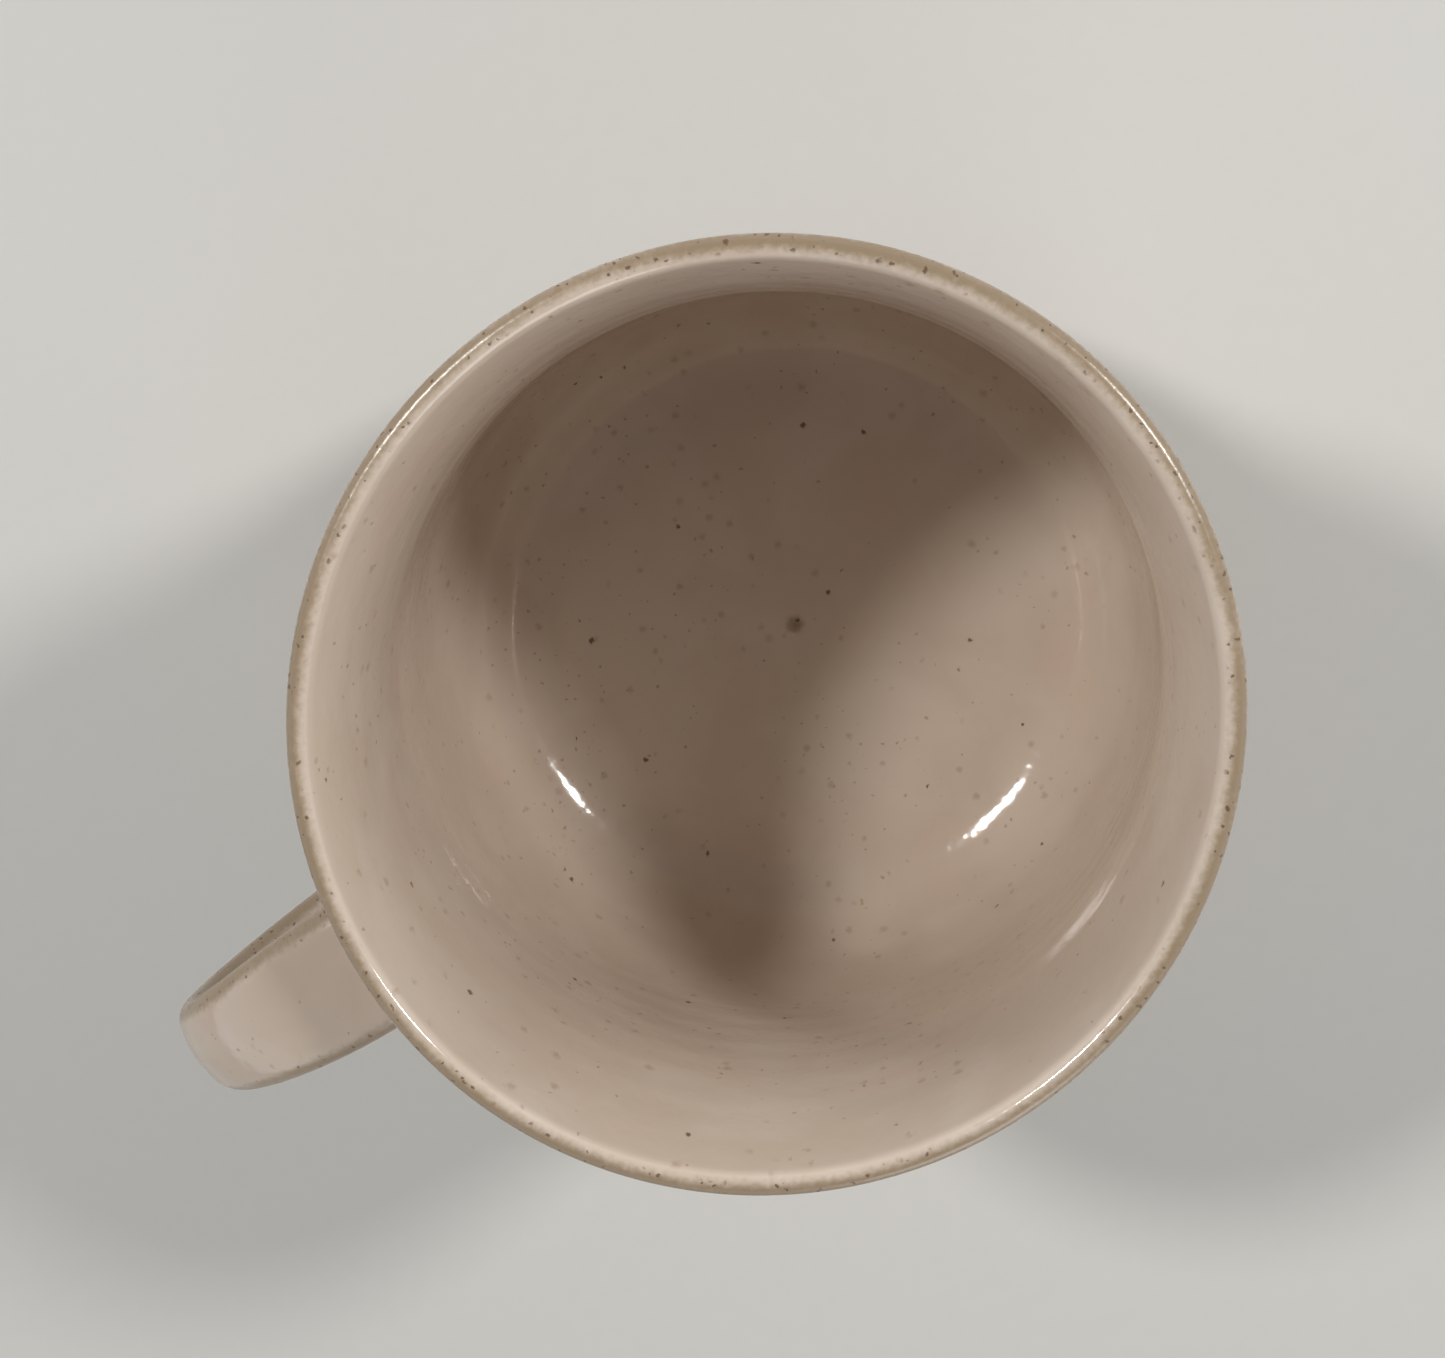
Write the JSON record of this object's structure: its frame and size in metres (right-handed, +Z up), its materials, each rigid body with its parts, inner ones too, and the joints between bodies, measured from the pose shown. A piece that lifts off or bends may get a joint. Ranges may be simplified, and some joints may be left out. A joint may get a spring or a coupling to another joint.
{
  "type": "stoneware mug",
  "caption": "Round stoneware mug with a soft neck and flared lip, a bare foot ring, a pulled strap handle and a speckled glaze.",
  "frame": {"origin": "middle of the foot ring's resting plane, on the mug's own axis", "axes": "+Z up the mug's axis to the mouth; +X from the axis to the middle of the handle"},
  "size_m": [0.1319, 0.0992, 0.09],
  "materials": {
    "bare_stoneware": "matt, gritty",
    "cup_glaze": "glossy, speckled",
    "handle_glaze": "glossy, speckled"
  },
  "bodies": {
    "root": {"mug_body": "bare_stoneware", "handle": "bare_stoneware", "upper_joint": "bare_stoneware", "lower_joint": "bare_stoneware", "cup_glaze": "cup_glaze", "handle_glaze": "handle_glaze"}
  },
  "joints": []
}
